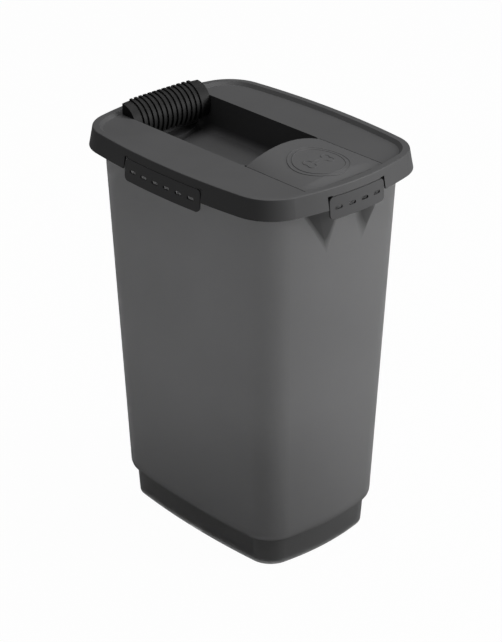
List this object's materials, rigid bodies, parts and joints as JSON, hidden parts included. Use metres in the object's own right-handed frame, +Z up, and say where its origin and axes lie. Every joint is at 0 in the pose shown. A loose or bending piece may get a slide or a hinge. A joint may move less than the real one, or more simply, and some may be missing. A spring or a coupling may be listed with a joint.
{
  "type": "pet food storage container",
  "caption": "Tall tapered food bin on a stacking foot, with a latched lid that has a hand well, a ribbed grip and a hinged pour flap.",
  "frame": {"origin": "middle of the foot's underside, on the surface it stands on", "axes": "+Z up, +X across the bin, +Y along it towards the grip, so the pour flap is at the -Y end"},
  "size_m": [0.2664, 0.3502, 0.4965],
  "materials": {
    "container": "smoke grey translucent polypropylene, fine satin",
    "lid": "anthracite, fine matte grain",
    "flap": "anthracite, fine matte grain",
    "grip": "near black, satin",
    "latch": "anthracite, fine matte grain"
  },
  "bodies": {
    "container": {"container": "container"},
    "lid": {"lid": "lid", "grip": "grip"},
    "pour_flap": {"pour_flap": "flap"},
    "latch_left": {"latch_left": "latch"},
    "latch_right": {"latch_right": "latch"},
    "latch_front": {"latch_front": "latch"},
    "latch_back": {"latch_back": "latch"}
  },
  "joints": [
    {"name": "lid_lift", "type": "slide", "parent": "container", "child": "lid", "axis": [0, 0, 1], "range_m": [0, 0.15]},
    {"name": "flap_hinge", "type": "hinge", "parent": "lid", "child": "pour_flap", "pos_m": [0, -0.1545, 0.4802], "axis": [1, 0, 0], "range_deg": [0, 100]},
    {"name": "latch_left_hinge", "type": "hinge", "parent": "lid", "child": "latch_left", "pos_m": [-0.13, 0, 0.474], "axis": [0, 1, 0], "range_deg": [0, 100]},
    {"name": "latch_right_hinge", "type": "hinge", "parent": "lid", "child": "latch_right", "pos_m": [0.13, 0, 0.474], "axis": [0, -1, 0], "range_deg": [0, 100]},
    {"name": "latch_front_hinge", "type": "hinge", "parent": "lid", "child": "latch_front", "pos_m": [0, -0.1719, 0.474], "axis": [-1, 0, 0], "range_deg": [0, 100]},
    {"name": "latch_back_hinge", "type": "hinge", "parent": "lid", "child": "latch_back", "pos_m": [0, 0.1719, 0.474], "axis": [1, 0, 0], "range_deg": [0, 100]}
  ]
}
